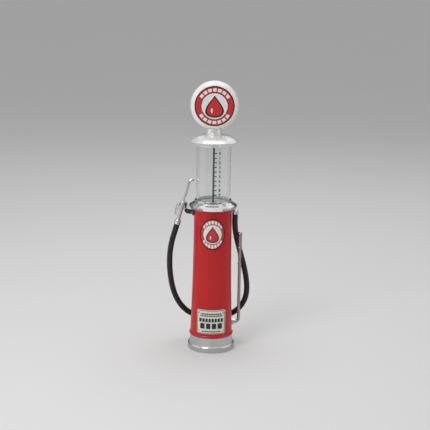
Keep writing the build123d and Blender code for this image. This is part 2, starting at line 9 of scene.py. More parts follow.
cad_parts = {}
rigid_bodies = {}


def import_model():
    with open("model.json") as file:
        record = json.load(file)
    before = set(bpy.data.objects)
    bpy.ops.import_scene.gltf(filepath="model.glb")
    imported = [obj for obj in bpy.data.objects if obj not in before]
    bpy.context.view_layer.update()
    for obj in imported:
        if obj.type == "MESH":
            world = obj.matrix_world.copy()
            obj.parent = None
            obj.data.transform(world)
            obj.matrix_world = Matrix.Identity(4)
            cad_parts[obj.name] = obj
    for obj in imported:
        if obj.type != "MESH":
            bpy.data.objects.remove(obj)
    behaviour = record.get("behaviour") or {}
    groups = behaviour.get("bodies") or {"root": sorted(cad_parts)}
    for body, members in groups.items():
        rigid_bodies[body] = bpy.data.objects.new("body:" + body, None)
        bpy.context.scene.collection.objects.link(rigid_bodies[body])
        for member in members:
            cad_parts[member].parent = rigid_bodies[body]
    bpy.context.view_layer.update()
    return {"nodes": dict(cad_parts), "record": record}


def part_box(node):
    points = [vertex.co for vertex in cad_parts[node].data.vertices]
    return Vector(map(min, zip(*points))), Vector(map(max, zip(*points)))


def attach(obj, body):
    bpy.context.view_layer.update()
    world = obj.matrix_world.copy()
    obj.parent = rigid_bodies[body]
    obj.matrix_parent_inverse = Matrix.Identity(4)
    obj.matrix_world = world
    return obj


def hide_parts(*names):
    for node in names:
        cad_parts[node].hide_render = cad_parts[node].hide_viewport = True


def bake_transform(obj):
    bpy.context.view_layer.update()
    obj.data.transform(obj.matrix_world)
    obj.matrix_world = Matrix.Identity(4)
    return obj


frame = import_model()

# All sizes are in millimetres unless a name says otherwise. Blender works in metres.
MM = 0.001

# The column's taper, as in the CAD model.
COLUMN_LOW_Z, COLUMN_HIGH_Z = 9.1, 88.9
COLUMN_LOW_R, COLUMN_HIGH_R = 13.2, 11.7

# How far the badge and the data plate stand out of the column, and the rise of a globe face's dome.
BADGE_PROUD = 1.45
LABEL_PROUD = 0.6
FACE_DOME = 0.65

# Print: half its thickness, the step from one layer to the next, and the gap within which points merge.
PRINT_HALF = 0.02
LAYER = 0.03
MERGE = 1e-4

# The sign's white blocks: how many in an arc, the angle from one to the next, and half of one's angle.
MARKS = 7
MARK_PITCH = math.radians(17.5)
MARK_HALF = math.radians(6.4)

# The sign's drop, as shares of the white middle: its width and height, and the red inside the black edge.
DROP_WIDE, DROP_TALL = 0.88, 0.86
DROP_RED_WIDE, DROP_RED_TALL = 0.82, 0.85

# The data plate's rows of blocks: share of the half width, distance of the row's top and bottom from the
# plate's top edge, and number of blocks. Then the border: its distance from the edge, its width, and the
# length that it leaves free at a corner.
LABEL_ROWS = (
    (0.70, 2.0, 2.9, 11),
    (0.79, 3.3, 4.1, 13),
    (0.83, 5.3, 7.6, 8),
    (0.77, 8.4, 11.9, 4),
    (0.66, 13.2, 14.0, 11),
)
BORDER_INSET, BORDER_LINE, BORDER_CORNER = 0.25, 0.3, 0.8

# The gap between two blocks of a row, as a share of the row's width for each block.
WORD_GAP = 0.26

# The nameplate's row: half its width, its middle, its place below the top edge, and number of blocks.
NAME_HALF_W, NAME_MIDDLE = 4.0, -0.6
NAME_TOP, NAME_BOTTOM = -0.65, -1.35
NAME_BLOCKS = 9

# The gauge: height of the 0 and step down to the next number. Then the digits: size, place across, and how
# much bolder they are as a share of the size. Then the arms: gap to the rod, length and half thickness.
GAUGE_COUNT = 10
GAUGE_TOP_Z, GAUGE_PITCH = 123.5, 2.88
DIGIT_SIZE, DIGIT_X = 2.3, 3.75
DIGIT_BOLD = 0.025
ARM_GAP, ARM_LENGTH, ARM_HALF = 0.05, 1.2, 0.32

# The hose: its radius and the outlet's, the nozzle's lean, and where the hose enters the nozzle.
HOSE_R, OUTLET_R = 1.75, 1.95
NOZZLE_LEAN = math.radians(15.3)
HOSE_END = (-22.1, 0.0, 79.0)

# The studio: the point that every lamp aims at, the soft boxes (place, width, height, watts), and the two
# side panels (place across, watts), with the depth, height, size and warm colour that both share.
AIM = (0, 0, 85)
SOFT_BOXES = {
    "key_box": ((-300, -450, 400), 320, 280, 1.25),
    "top_box": ((0, 60, 600), 400, 300, 0.9),
    "back_box": ((100, 540, 600), 700, 380, 0.6),
}
PANELS = {"left_panel": (-430, 0.45), "right_panel": (430, 0.40)}
PANEL_Y, PANEL_Z, PANEL_WIDE, PANEL_TALL = -80, 150, 420, 480
PANEL_WARM = (1.0, 0.985, 0.96)
FLOOR_HALF = 9000.0


# ---------------------------------------------------------------- material tools
class Graph:
    """A material's nodes, with short calls to add and wire them."""

    def __init__(self, name):
        self.material = bpy.data.materials.new(name)
        self.material.use_nodes = True
        self.tree = self.material.node_tree
        self.surface = self.tree.nodes["Principled BSDF"]
        self.place = self.add("ShaderNodeTexCoord").outputs["Object"]

    def add(self, kind, **inputs):
        """A new node with its inputs set."""
        node = self.tree.nodes.new(kind)
        for name, value in inputs.items():
            self.feed(node.inputs[name.replace("_", " ")], value)
        return node

    def feed(self, socket, value):
        """Wire a socket to a plain value or to another node's output."""
        if isinstance(value, bpy.types.NodeSocket):
            self.tree.links.new(value, socket)
        else:
            socket.default_value = value

    def set(self, **inputs):
        """Set inputs of the surface shader."""
        for name, value in inputs.items():
            self.feed(self.surface.inputs[name.replace("_", " ")], value)

    def calc(self, operation, a, b=0.0, clamp=False):
        """One sum of one or two values."""
        node = self.add("ShaderNodeMath")
        node.operation = operation
        node.use_clamp = clamp
        self.feed(node.inputs[0], a)
        self.feed(node.inputs[1], b)
        return node.outputs[0]

    def stretch(self, x=1.0, y=1.0, z=1.0):
        """Object coordinates scaled along each axis."""
        mapping = self.add("ShaderNodeMapping", Vector=self.place)
        mapping.inputs["Scale"].default_value = (x, y, z)
        return mapping.outputs[0]

    def noise(self, per_mm, detail=3.0, roughness=0.5, place=None):
        """Soft cloudy noise; per_mm is how many lumps there are to a millimetre."""
        place = place or self.place
        node = self.add("ShaderNodeTexNoise", Vector=place, Detail=detail, Roughness=roughness)
        node.inputs["Scale"].default_value = per_mm / MM
        return node.outputs["Fac"]

    def cells(self, per_mm):
        """Distance to the nearest of many scattered points."""
        node = self.add("ShaderNodeTexVoronoi", Vector=self.place)
        node.inputs["Scale"].default_value = per_mm / MM
        return node.outputs["Distance"]

    def spread(self, value, low, high, out_low=0.0, out_high=1.0):
        """Carry a value from one range to another, held at the ends."""
        node = self.add("ShaderNodeMapRange", Value=value)
        node.inputs["From Min"].default_value = low
        node.inputs["From Max"].default_value = high
        node.inputs["To Min"].default_value = out_low
        node.inputs["To Max"].default_value = out_high
        return node.outputs["Result"]

    def blend(self, share, first, second):
        """A colour between two others."""
        node = self.add("ShaderNodeMix")
        node.data_type = "RGBA"
        self.feed(node.inputs[0], share)
        self.feed(node.inputs[6], first)
        self.feed(node.inputs[7], second)
        return node.outputs[2]

    def edges(self, radius):
        """1 on edges that a small radius would round, 0 on flat and gently curved faces."""
        rounded = self.add("ShaderNodeBevel")
        rounded.samples = 4
        rounded.inputs["Radius"].default_value = radius * MM
        shape = self.add("ShaderNodeNewGeometry")
        match = self.add("ShaderNodeVectorMath")
        match.operation = "DOT_PRODUCT"
        self.feed(match.inputs[0], rounded.outputs[0])
        self.feed(match.inputs[1], shape.outputs["Normal"])
        return self.spread(match.outputs["Value"], 1.0, 0.8)

    def bump(self, height, depth, soften=0.0):
        """A bump whose full height is depth mm, over edges rounded by soften mm."""
        node = self.add("ShaderNodeBump", Height=height)
        node.inputs["Distance"].default_value = depth * MM
        if soften:
            rounded = self.add("ShaderNodeBevel")
            rounded.samples = 4
            rounded.inputs["Radius"].default_value = soften * MM
            self.feed(node.inputs["Normal"], rounded.outputs[0])
        self.set(Normal=node.outputs[0])


def rgb(red, green, blue):
    """A solid colour."""
    return red, green, blue, 1.0


def shade(color, factor):
    """A colour made lighter or darker."""
    return tuple(min(1.0, channel * factor) for channel in color[:3]) + (1.0,)


# ---------------------------------------------------------------- materials
def enamel(name, color, peel=0.004):
    """Glossy stoved enamel: slight colour drift, orange peel, thin paint on edges and a little dust."""
    g = Graph(name)
    drift = g.noise(0.05, 3)
    body = g.blend(drift, shade(color, 0.86), shade(color, 1.12))
    thin = g.calc("MULTIPLY", g.edges(0.18), 0.35)
    body = g.blend(thin, body, shade(color, 0.55))
    specks = g.spread(g.cells(1.6), 0.05, 0.0)
    body = g.blend(g.calc("MULTIPLY", specks, 0.25), body, shade(color, 1.8))
    g.set(Base_Color=body, Roughness=0.5, Specular_IOR_Level=0.0)
    g.set(Coat_Weight=1.0, Coat_IOR=1.5, Coat_Roughness=g.spread(g.noise(0.22, 4), 0.3, 0.75, 0.03, 0.10))
    g.bump(g.noise(1.1, 2, 0.4), peel, soften=0.12)
    return g.material


def chrome(name, color=rgb(0.86, 0.87, 0.88), low=0.04, high=0.16, wave=0.006):
    """Plated die-cast metal: a faintly wavy surface, smudges and dull plating along edges.

    It gives the graph, so that another material can build on it.
    """
    g = Graph(name)
    smudge = g.noise(0.18, 5, 0.6)
    wipe = g.noise(0.9, 3, 0.6, g.stretch(1, 1, 0.15))
    patch = g.calc("MULTIPLY", smudge, wipe)
    edge = g.edges(0.15)
    tint = g.blend(g.spread(smudge, 0.35, 0.75), color, shade(color, 0.90))
    tint = g.blend(g.calc("MULTIPLY", edge, 0.4), tint, shade(color, 0.62))
    rough = g.spread(patch, 0.12, 0.42, low, high)
    g.set(Base_Color=tint, Metallic=1.0, Roughness=g.calc("ADD", rough, g.calc("MULTIPLY", edge, 0.10)))
    ripple = g.noise(0.25, 2, 0.4)
    grain = g.calc("MULTIPLY", g.noise(4.0, 2), 0.04)
    g.bump(g.calc("ADD", ripple, grain), wave, soften=0.15)
    return g


def satin_silver(name, color=rgb(0.88, 0.88, 0.87), metal=0.45, low=0.22, high=0.34):
    """White-silver satin plating: soft reflections, faint smudges and slightly duller edges."""
    g = Graph(name)
    smudge = g.noise(0.16, 5, 0.6)
    edge = g.edges(0.08)
    tint = g.blend(g.spread(smudge, 0.35, 0.75), color, shade(color, 0.93))
    g.set(Base_Color=g.blend(g.calc("MULTIPLY", edge, 0.3), tint, shade(color, 0.85)), Metallic=metal)
    g.set(Roughness=g.spread(smudge, 0.3, 0.7, low, high))
    ripple = g.noise(0.3, 2, 0.4)
    grain = g.calc("MULTIPLY", g.noise(4.0, 2), 0.05)
    g.bump(g.calc("ADD", ripple, grain), 0.005, soften=0.05)
    return g.material


def bowl_metal(name, color):
    """Bright plating outside; the floor and seat that the clear cylinder covers are matt silver."""
    g = chrome(name, color)
    spot = g.add("ShaderNodeSeparateXYZ", Vector=g.add("ShaderNodeNewGeometry").outputs["Position"])
    squares = [g.calc("MULTIPLY", spot.outputs[axis], spot.outputs[axis]) for axis in ("X", "Y")]
    reach = g.calc("SQRT", g.calc("ADD", *squares))
    seat_low, seat_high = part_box("sight_cylinder")
    inside = g.calc("LESS_THAN", reach, seat_high.x + 0.1 * MM)
    above = g.calc("GREATER_THAN", spot.outputs["Z"], seat_low.z - 1.0 * MM)
    covered = g.calc("MULTIPLY", inside, above)
    g.set(Metallic=g.spread(covered, 0.0, 1.0, 1.0, 0.45))
    g.set(Roughness=g.spread(covered, 0.0, 1.0, 0.10, 0.34))
    return g.material


def plain_steel(name, color=rgb(0.50, 0.50, 0.52)):
    """Zinc-plated steel with turned marks."""
    g = Graph(name)
    g.set(Base_Color=g.blend(g.noise(0.8, 4), shade(color, 0.8), shade(color, 1.15)), Metallic=1.0)
    g.set(Roughness=g.spread(g.noise(2.5, 3), 0.3, 0.7, 0.25, 0.42))
    g.bump(g.noise(5.0, 2), 0.006, soften=0.06)
    return g.material


def rubber(name, color):
    """Satin rubber: drawn lengthwise, a little dusty."""
    g = Graph(name)
    dust = g.spread(g.noise(0.35, 5, 0.65), 0.45, 0.8, 0.0, 0.4)
    g.set(Base_Color=g.blend(dust, color, shade(color, 2.4)))
    g.set(Roughness=g.spread(g.noise(0.8, 4), 0.3, 0.7, 0.32, 0.52), Specular_IOR_Level=0.5)
    drawn = g.noise(1.4, 3, 0.6, g.stretch(1, 1, 0.25))
    g.bump(g.calc("ADD", drawn, g.calc("MULTIPLY", g.noise(6.0, 2), 0.4)), 0.02)
    return g.material


def satin_black(name, color=rgb(0.015, 0.015, 0.018)):
    """Black lacquer that has gone slightly dull, thin on its edges."""
    g = Graph(name)
    edge = g.calc("MULTIPLY", g.edges(0.12), 0.5)
    lacquer = g.blend(g.noise(0.5, 4), color, shade(color, 2.2))
    g.set(Base_Color=g.blend(edge, lacquer, rgb(0.10, 0.10, 0.11)))
    g.set(Roughness=g.spread(g.noise(1.2, 4), 0.3, 0.7, 0.22, 0.42), Coat_Weight=0.3, Coat_Roughness=0.1)
    g.bump(g.noise(2.2, 3), 0.008, soften=0.1)
    return g.material


def moulded_black(name, color=rgb(0.02, 0.02, 0.02)):
    """Matt black plastic with a fine grain."""
    g = Graph(name)
    g.set(Base_Color=g.blend(g.noise(1.0, 3), color, shade(color, 1.8)))
    g.set(Roughness=g.spread(g.noise(3.0, 3), 0.3, 0.7, 0.5, 0.7))
    g.bump(g.cells(5.0), 0.02, soften=0.1)
    return g.material


def opal_white(name, color=rgb(0.86, 0.86, 0.84)):
    """Glossy opal white plastic with light passing a little way in."""
    g = Graph(name)
    g.set(Base_Color=g.blend(g.noise(0.08, 3), shade(color, 0.95), shade(color, 1.04)))
    g.set(Subsurface_Weight=0.25, Subsurface_Scale=0.8 * MM, Subsurface_Radius=(1.0, 0.95, 0.85))
    g.set(Roughness=g.spread(g.noise(0.5, 4), 0.3, 0.7, 0.14, 0.24), Coat_Weight=0.6, Coat_Roughness=0.04)
    g.bump(g.noise(0.8, 2), 0.004, soften=0.12)
    return g.material


def ink(name, color, gloss=0.25):
    """Printed colour: a slightly uneven film. gloss is its least roughness."""
    g = Graph(name)
    g.set(Base_Color=g.blend(g.noise(2.5, 3), shade(color, 0.88), shade(color, 1.12)))
    g.set(Roughness=g.spread(g.noise(1.5, 3), 0.3, 0.7, gloss, gloss + 0.12))
    g.set(Coat_Weight=0.5, Coat_Roughness=0.05)
    g.bump(g.noise(4.0, 2), 0.003)
    return g.material


def cream_plate(name, color):
    """Lacquered cream plate with faint ageing."""
    g = Graph(name)
    stain = g.spread(g.noise(0.25, 5, 0.6), 0.4, 0.8, 0.0, 0.5)
    body = g.blend(stain, color, shade(color, 0.82))
    body = g.blend(g.calc("MULTIPLY", g.edges(0.12), 0.5), body, shade(color, 0.5))
    g.set(Base_Color=body, Roughness=g.spread(g.noise(0.9, 4), 0.3, 0.7, 0.22, 0.36), Coat_Weight=0.4)
    g.bump(g.noise(1.5, 3), 0.006, soften=0.08)
    return g.material


def clear(name, tint, rough=0.015):
    """Clear plastic that lets lamps through, so that it casts only a pale shadow."""
    g = Graph(name)
    g.set(Base_Color=tint, IOR=1.47, Transmission_Weight=1.0)
    g.set(Roughness=g.spread(g.noise(0.15, 4), 0.4, 0.8, rough, rough + 0.03))
    g.bump(g.noise(0.06, 2), 0.01)
    open_air = g.add("ShaderNodeBsdfTransparent", Color=rgb(0.93, 0.95, 0.94))
    path = g.add("ShaderNodeLightPath")
    mix = g.add("ShaderNodeMixShader")
    g.feed(mix.inputs[0], path.outputs["Is Shadow Ray"])
    g.feed(mix.inputs[1], g.surface.outputs[0])
    g.feed(mix.inputs[2], open_air.outputs[0])
    g.feed(g.tree.nodes["Material Output"].inputs["Surface"], mix.outputs[0])
    return g.material


RED = rgb(0.56, 0.012, 0.013)
PRINT_RED = rgb(0.60, 0.022, 0.028)
PRINT_BLACK = rgb(0.008, 0.008, 0.012)
PRINT_WHITE = rgb(0.82, 0.82, 0.80)

materials = {
    "red_paint": enamel("red_paint", RED),
    "badge_enamel": enamel("badge_black", PRINT_BLACK),
    "globe_lens": opal_white("lens_white", rgb(0.84, 0.84, 0.82)),
    "label_plate": cream_plate("label_plate", rgb(0.80, 0.80, 0.71)),
    "foot_chrome": chrome("foot_chrome", high=0.2).material,
    "bowl_chrome": bowl_metal("bowl_chrome", rgb(0.62, 0.62, 0.63)),
    "cap_chrome": satin_silver("cap_chrome"),
    "neck_silver": satin_silver("neck_silver"),
    "nameplate_metal": satin_silver("nameplate_metal", rgb(0.97, 0.97, 0.96), 0.10),
    "fitting_chrome": chrome("fitting_chrome").material,
    # The lever's plating is darker than the other chrome: painted shade that stands in for the dark
    # surroundings it mirrors.
    "lever_chrome": chrome("lever_chrome", rgb(0.48, 0.45, 0.45)).material,
    "nozzle_chrome": chrome("nozzle_chrome").material,
    "rivet_metal": plain_steel("rivet_metal", rgb(0.62, 0.61, 0.58)),
    "screw_steel": plain_steel("screw_steel"),
    "black_plastic": moulded_black("black_plastic"),
    "gasket_rubber": rubber("gasket_rubber", rgb(0.40, 0.40, 0.39)),
    "hose_rubber": rubber("hose_rubber", rgb(0.016, 0.014, 0.016)),
    "rod_black": satin_black("rod_black"),
    "hook_black": satin_black("hook_black"),
    "globe_white": opal_white("globe_white"),
    "clear_cylinder": clear("clear_cylinder", rgb(0.97, 0.985, 0.975)),
    "clear_strip": clear("clear_strip", rgb(0.98, 0.985, 0.98)),
}
print_red = ink("print_red", PRINT_RED)
print_black = ink("print_black", PRINT_BLACK)
print_white = ink("print_white", PRINT_WHITE)
label_ink = ink("label_ink", rgb(0.010, 0.016, 0.025))
border_ink = ink("border_ink", rgb(0.03, 0.04, 0.05))
nameplate_ink = ink("nameplate_ink", rgb(0.05, 0.06, 0.09))


def paint_nodes():
    """Give every CAD node the material of its slot, and smooth faces with crisp edges."""
    slots = {row["node"]: row["material_slot"] for row in frame["record"]["subparts"]}
    for name, node in frame["nodes"].items():
        node.data.materials.clear()
        node.data.materials.append(materials[slots[name]])
        node.data.shade_smooth()
        node.data.set_sharp_from_angle(angle=math.radians(32))


# ---------------------------------------------------------------- mesh tools
def make_piece(name, mesh, body, material):
    """A new piece from a bmesh in millimetres. It rides on a body, unless body is None."""
    for vertex in mesh.verts:
        vertex.co *= MM
    bmesh.ops.recalc_face_normals(mesh, faces=mesh.faces)
    data = bpy.data.meshes.new(name)
    mesh.to_mesh(data)
    mesh.free()
    data.materials.append(material)
    data.shade_smooth()
    data.set_sharp_from_angle(angle=math.radians(40))
    piece = bpy.data.objects.new(name, data)
    bpy.context.scene.collection.objects.link(piece)
    if body:
        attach(piece, body)
    return piece


def add_sheet(mesh, grid, place, lift, closed=False):
    """A thin closed sheet over a grid of flat points, laid on a surface by place(u, v, height)."""
    rows, columns = len(grid), len(grid[0])
    top = [[mesh.verts.new(place(u, v, lift + PRINT_HALF)) for u, v in row] for row in grid]
    low = [[mesh.verts.new(place(u, v, lift - PRINT_HALF)) for u, v in row] for row in grid]
    last = columns if closed else columns - 1
    for i in range(rows - 1):
        for j in range(last):
            k = (j + 1) % columns
            mesh.faces.new((top[i][j], top[i][k], top[i + 1][k], top[i + 1][j]))
            mesh.faces.new((low[i][j], low[i + 1][j], low[i + 1][k], low[i][k]))
    for i in (0, rows - 1):
        for j in range(last):
            k = (j + 1) % columns
            mesh.faces.new((top[i][j], low[i][j], low[i][k], top[i][k]))
    if not closed:
        for j in (0, columns - 1):
            for i in range(rows - 1):
                mesh.faces.new((top[i][j], top[i + 1][j], low[i + 1][j], low[i][j]))


def between(inner, outer, angle, share):
    """The point that lies a share of the way from one closed curve to another, at an angle."""
    a, b = inner(angle), outer(angle)
    return a[0] + (b[0] - a[0]) * share, a[1] + (b[1] - a[1]) * share


def ring_grid(inner, outer, steps=144, rows=6):
    """The whole band between two closed curves, each a function of the angle that gives (u, v)."""
    angles = [2 * math.pi * j / steps for j in range(steps)]
    return [[between(inner, outer, angle, i / rows) for angle in angles] for i in range(rows + 1)]


def ring_sector(inner, outer, margin, start, end, columns=5, rows=3):
    """Part of the band between two closed curves, a margin away from both, between two angles."""
    shares = [margin + (1 - 2 * margin) * i / rows for i in range(rows + 1)]
    angles = [start + (end - start) * j / columns for j in range(columns + 1)]
    return [[between(inner, outer, angle, share) for angle in angles] for share in shares]


def dot(middle=(0.0, 0.0)):
    """A curve shrunk to one point."""
    return lambda a: middle


def oval(half_w, half_h, middle=(0.0, 0.0)):
    """An ellipse as a function of the angle, measured clockwise from the top."""
    return lambda a: (middle[0] + half_w * math.sin(a), middle[1] + half_h * math.cos(a))


def drop(half_w, half_h, middle=(0.0, 0.0)):
    """A fuel drop: round below, pointed at the top. Its widest part is about 0.8 of half_w."""
    def point(a):
        reach = (1 - math.cos(a)) / 2
        taper = reach ** 0.75
        return middle[0] + half_w * 1.15 * math.sin(a) * taper, middle[1] + half_h * math.cos(a)
    return point


def box_grid(low, high, columns, rows):
    """A rectangle's points."""
    across = [low[0] + (high[0] - low[0]) * j / columns for j in range(columns + 1)]
    return [[(u, low[1] + (high[1] - low[1]) * i / rows) for u in across] for i in range(rows + 1)]


def printed(name, material, place, lift, grids, closed=False):
    """One printed layer on the pump, a sheet for each grid. closed is for grids that go all the way round."""
    mesh = bmesh.new()
    for grid in grids:
        add_sheet(mesh, grid, place, lift, closed)
    bmesh.ops.remove_doubles(mesh, verts=mesh.verts, dist=MERGE)
    make_piece(name, mesh, "pump", material)


# ---------------------------------------------------------------- surfaces that carry print
def column_radius(z):
    """The column's radius at a height; it swells towards the foot."""
    way_down = (COLUMN_HIGH_Z - z) / (COLUMN_HIGH_Z - COLUMN_LOW_Z)
    return COLUMN_HIGH_R + (COLUMN_LOW_R - COLUMN_HIGH_R) * way_down ** 2


def middle_of(node):
    """The middle of a node's box, in millimetres."""
    low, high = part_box(node)
    return (low + high) / (2 * MM)


def on_column(middle_z, proud):
    """Places print on a skin of the column's front; u is seen from the front."""
    def place(u, v, height):
        z = middle_z + v
        radius = column_radius(z) + proud
        depth = math.sqrt(radius ** 2 - u ** 2)
        grow = (radius + height) / radius
        return Vector((u * grow, -depth * grow, z))
    return place


def on_globe_face(node, side):
    """Places print on a domed face of the globe; side is -1 for the front and 1 for the rear."""
    low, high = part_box(node)
    middle = middle_of(node)
    edge_r = (high.x - low.x) / (2 * MM)
    crown = max(abs(low.y), abs(high.y)) / MM
    ball_r = (edge_r ** 2 + FACE_DOME ** 2) / (2 * FACE_DOME)

    def place(u, v, height):
        depth = crown - ball_r + math.sqrt(ball_r ** 2 - u ** 2 - v ** 2) + height
        return Vector((-side * u, side * depth, middle.z + v))
    return place


# ---------------------------------------------------------------- artwork
def roundel(prefix, place, rims, mark_reach):
    """A generic fuel sign: red ring with plain white blocks, black lines, white middle and red drop.

    rims holds the half width and half height of the outline, the red ring, the inner line and the
    white middle. mark_reach is the share of the ring's width that the blocks fill.
    """
    def layer(part, material, step, grids, closed=True):
        printed(prefix + "_" + part, material, place, step * LAYER, grids, closed)

    outline, red, line, white = [oval(*rim) for rim in rims]
    layer("outline", print_black, 0, [ring_grid(red, outline, rows=3)])
    layer("ring", print_red, 0, [ring_grid(line, red)])
    layer("line", print_black, 0, [ring_grid(white, line, rows=2)])
    layer("centre", print_white, 0, [ring_grid(dot(), white, rows=14)])

    margin = (1 - mark_reach) / 2
    marks = []
    for base in (0.0, math.pi):
        for k in range(MARKS):
            middle = base + (k - MARKS // 2) * MARK_PITCH
            marks.append(ring_sector(line, red, margin, middle - MARK_HALF, middle + MARK_HALF))
    layer("marks", print_white, 1, marks, closed=False)

    white_w, white_h = rims[3]
    drop_w, drop_h = white_w * DROP_WIDE, white_h * DROP_TALL
    centre = (0.0, -white_h * 0.02)
    low_centre = (0.0, centre[1] - drop_h * 0.02)
    shine = (-drop_w * 0.24, centre[1] - drop_h * 0.36)
    black_drop = drop(drop_w, drop_h, centre)
    red_drop = drop(drop_w * DROP_RED_WIDE, drop_h * DROP_RED_TALL, low_centre)
    glint = oval(drop_w * 0.08, drop_h * 0.22, shine)
    layer("drop_edge", print_black, 1, [ring_grid(dot(centre), black_drop, rows=10)])
    layer("drop", print_red, 2, [ring_grid(dot(centre), red_drop, rows=10)])
    layer("drop_shine", print_white, 3, [ring_grid(dot(shine), glint, 48, 3)])


def globe_art():
    """The sign on both faces of the globe."""
    low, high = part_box("globe_face_front")
    radius = (high.x - low.x) / (2 * MM)
    rims = [(radius * share, radius * share) for share in (1.0, 0.945, 0.690, 0.655)]
    for node, side in (("globe_face_front", -1), ("globe_face_rear", 1)):
        roundel(node, on_globe_face(node, side), rims, 0.62)


def badge_art():
    """The same sign, drawn out to an oval, on the column's badge."""
    low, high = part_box("oval_badge")
    middle = middle_of("oval_badge")
    bare_edge, outline_w, line_w = 0.3, 0.35, 0.25
    half_w = (high.x - low.x) / (2 * MM) - bare_edge
    half_h = (high.z - low.z) / (2 * MM) - bare_edge
    line_rim = (half_w * 0.80, half_h * 0.66)
    red_rim = (half_w - outline_w, half_h - outline_w)
    white_rim = (line_rim[0] - line_w, line_rim[1] - line_w)
    rims = [(half_w, half_h), red_rim, line_rim, white_rim]
    roundel("badge", on_column(middle.z, BADGE_PROUD), rims, 0.74)


def label_words(half_w, low, high, blocks, middle=0.0):
    """A row of plain blocks that stands for a line of print, from low to high."""
    gap = half_w * 2 / blocks * WORD_GAP
    pitch = (half_w * 2 + gap) / blocks
    left = middle - half_w
    return [box_grid((left + pitch * k, low), (left + pitch * (k + 1) - gap, high), 6, 3)
            for k in range(blocks)]


def label_art():
    """Rows of plain blocks and a printed border on the data plate."""
    middle = middle_of("data_plate")
    low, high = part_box("data_plate")
    half_h = (high.z - low.z) / (2 * MM)
    half_w = (high.x - low.x) / (2 * MM)
    place = on_column(middle.z, LABEL_PROUD)
    rows = []
    for share, top, bottom, blocks in LABEL_ROWS:
        rows += label_words(half_w * share, half_h - bottom, half_h - top, blocks)
    printed("label_lines", label_ink, place, LAYER, rows)

    edge_w, edge_h = half_w - BORDER_INSET, half_h - BORDER_INSET
    free_w, free_h = edge_w - BORDER_CORNER, edge_h - BORDER_CORNER
    border = []
    for v in (edge_h - BORDER_LINE, -edge_h):
        border.append(box_grid((-free_w, v), (free_w, v + BORDER_LINE), 24, 1))
    for u in (-edge_w, edge_w - BORDER_LINE):
        border.append(box_grid((u, -free_h), (u + BORDER_LINE, free_h), 1, 12))
    printed("label_border", border_ink, place, LAYER, border)


def nameplate_art():
    """A thin line of plain blocks near the nameplate's top edge."""
    low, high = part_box("bowl_nameplate")
    face_r = -low.y / MM
    top = high.z / MM

    def place(u, v, height):
        radius = face_r + height
        angle = u / face_r
        return Vector((radius * math.sin(angle), -radius * math.cos(angle), top + v))

    row = label_words(NAME_HALF_W, NAME_BOTTOM, NAME_TOP, NAME_BLOCKS, NAME_MIDDLE)
    printed("nameplate_line", nameplate_ink, place, 0.0, row)


# ---------------------------------------------------------------- gauge
def digit_mesh(text):
    """One digit as a thin mesh in millimetres, centred on its own middle."""
    curve = bpy.data.curves.new("digit", "FONT")
    curve.body = text
    curve.size = DIGIT_SIZE
    curve.extrude = PRINT_HALF
    curve.offset = DIGIT_SIZE * DIGIT_BOLD
    curve.align_x = "CENTER"
    curve.align_y = "CENTER"
    holder = bpy.data.objects.new("digit", curve)
    bpy.context.scene.collection.objects.link(holder)
    bpy.context.view_layer.update()
    depsgraph = bpy.context.evaluated_depsgraph_get()
    data = bpy.data.meshes.new_from_object(holder.evaluated_get(depsgraph))
    bpy.data.objects.remove(holder)
    bpy.data.curves.remove(curve)
    return data


def gauge_marks():
    """Ten short arms by the centre rod, and the numbers 0 to 9 beside them, printed on the clear strip."""
    face_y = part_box("gauge_scale")[0].y / MM
    arm_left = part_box("tie_rod")[1].x / MM + ARM_GAP
    arm_right = arm_left + ARM_LENGTH

    def place(u, v, height):
        return Vector((u, face_y - height, v))

    arms = []
    numbers = bmesh.new()
    for k in range(GAUGE_COUNT):
        z = GAUGE_TOP_Z - GAUGE_PITCH * k
        arms.append(box_grid((arm_left, z - ARM_HALF), (arm_right, z + ARM_HALF), 2, 1))
        data = digit_mesh(str(k))
        data.transform(Matrix.Rotation(math.radians(90), 4, "X"))
        data.transform(Matrix.Translation((DIGIT_X, face_y - PRINT_HALF, z)))
        numbers.from_mesh(data)
        bpy.data.meshes.remove(data)
    bmesh.ops.remove_doubles(numbers, verts=numbers.verts, dist=MERGE)
    printed("gauge_arms", print_black, place, 0.0, arms)
    make_piece("gauge_numbers", numbers, "pump", print_black)


# ---------------------------------------------------------------- hose
def smooth_route(points, start_way, end_way, per_span):
    """A smooth curve through points, spaced by distance, with a set direction at each end."""
    points = np.array(points, float)
    gaps = np.linalg.norm(np.diff(points, axis=0), axis=1)
    count = len(points)
    system = np.zeros((count, count))
    wanted = np.zeros((count, 3))
    system[0, 0] = system[-1, -1] = 1.0
    wanted[0], wanted[-1] = start_way, end_way
    for i in range(1, count - 1):
        before, after = gaps[i - 1], gaps[i]
        system[i, i - 1] = after
        system[i, i] = 2 * (before + after)
        system[i, i + 1] = before
        slope_before = (points[i] - points[i - 1]) / before
        slope_after = (points[i + 1] - points[i]) / after
        wanted[i] = 3 * (after * slope_before + before * slope_after)
    ways = np.linalg.solve(system, wanted)
    route = []
    for i in range(count - 1):
        gap = gaps[i]
        for t in np.linspace(0, 1, per_span, endpoint=False):
            keep = 2 * t ** 3 - 3 * t ** 2 + 1
            route.append(keep * points[i] + (t ** 3 - 2 * t ** 2 + t) * gap * ways[i]
                         + (1 - keep) * points[i + 1] + (t ** 3 - t ** 2) * gap * ways[i + 1])
    route.append(points[-1])
    return [Vector(p) for p in route]


